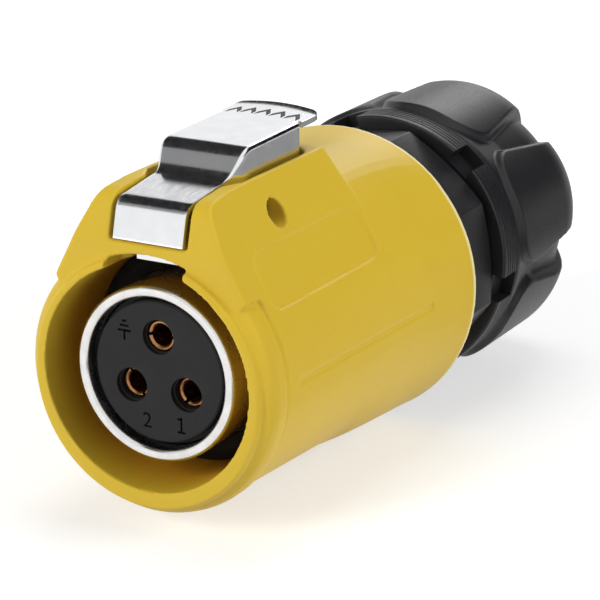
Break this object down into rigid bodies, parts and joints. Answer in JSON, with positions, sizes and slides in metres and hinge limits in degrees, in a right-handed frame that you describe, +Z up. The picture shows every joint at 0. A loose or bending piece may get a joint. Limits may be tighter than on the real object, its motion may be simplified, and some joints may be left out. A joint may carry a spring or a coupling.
{
  "type": "waterproof circular connector",
  "caption": "Round waterproof cable plug with recessed sockets in a plated ring, a sprung steel push latch on top and a lobed screw gland for the cable.",
  "frame": {"origin": "centre of the mating face, at the front of the shell's lip", "axes": "+Y along the plug's axis towards the cable entry, +Z up through the latch, +X to the right seen from the mating face"},
  "size_m": [0.0362, 0.0821, 0.0422],
  "materials": {
    "yellow_shell": "satin moulded plastic",
    "polished_steel": "polished stainless sheet",
    "steel": "drawn steel",
    "nickel": "satin nickel plate",
    "socket_brass": "turned brass",
    "dark_insert": "dark moulded insulator",
    "pale_insert": "pale moulded insulator",
    "black_body": "satin black moulded plastic",
    "seal_rubber": "soft black rubber"
  },
  "bodies": {
    "connector": {"front_shell": "yellow_shell", "latch_pin": "steel", "latch_spring": "steel", "shield_ring": "nickel", "insert_o_ring": "seal_rubber", "interface_seal": "seal_rubber", "insert_retainer": "nickel", "contact_insert": "dark_insert", "rear_insert": "pale_insert", "insert_clip": "steel", "contact_earth": "socket_brass", "contact_1": "socket_brass", "contact_2": "socket_brass", "terminal_screws": "steel", "rear_body": "black_body", "body_o_ring": "seal_rubber", "clamp_claw": "black_body", "cable_seal": "seal_rubber"},
    "latch": {"push_latch": "polished_steel"},
    "slip_ring": {"thrust_ring": "black_body"},
    "nut": {"gland_nut": "black_body"}
  },
  "joints": [
    {"name": "latch_press", "type": "hinge", "parent": "connector", "child": "latch", "pos_m": [0, 0.0137, 0.01648], "axis": [-1, 0, 0], "range_deg": [0, 7], "stiffness_Nm_per_rad": 0.3, "springref_deg": -14.32, "deforming": ["latch_spring"]},
    {"name": "nut_travel", "type": "slide", "parent": "connector", "child": "slip_ring", "axis": [0, 1, 0], "range_m": [0, 0.00601]},
    {"name": "nut_turn", "type": "hinge", "parent": "slip_ring", "child": "nut", "pos_m": [0, 0.0791, 0], "axis": [0, 1, 0], "range_deg": [0, 1080]}
  ],
  "couplings": [
    {"joint": "nut_travel", "follows": "nut_turn", "m_per_rad": 0.00031831}
  ]
}
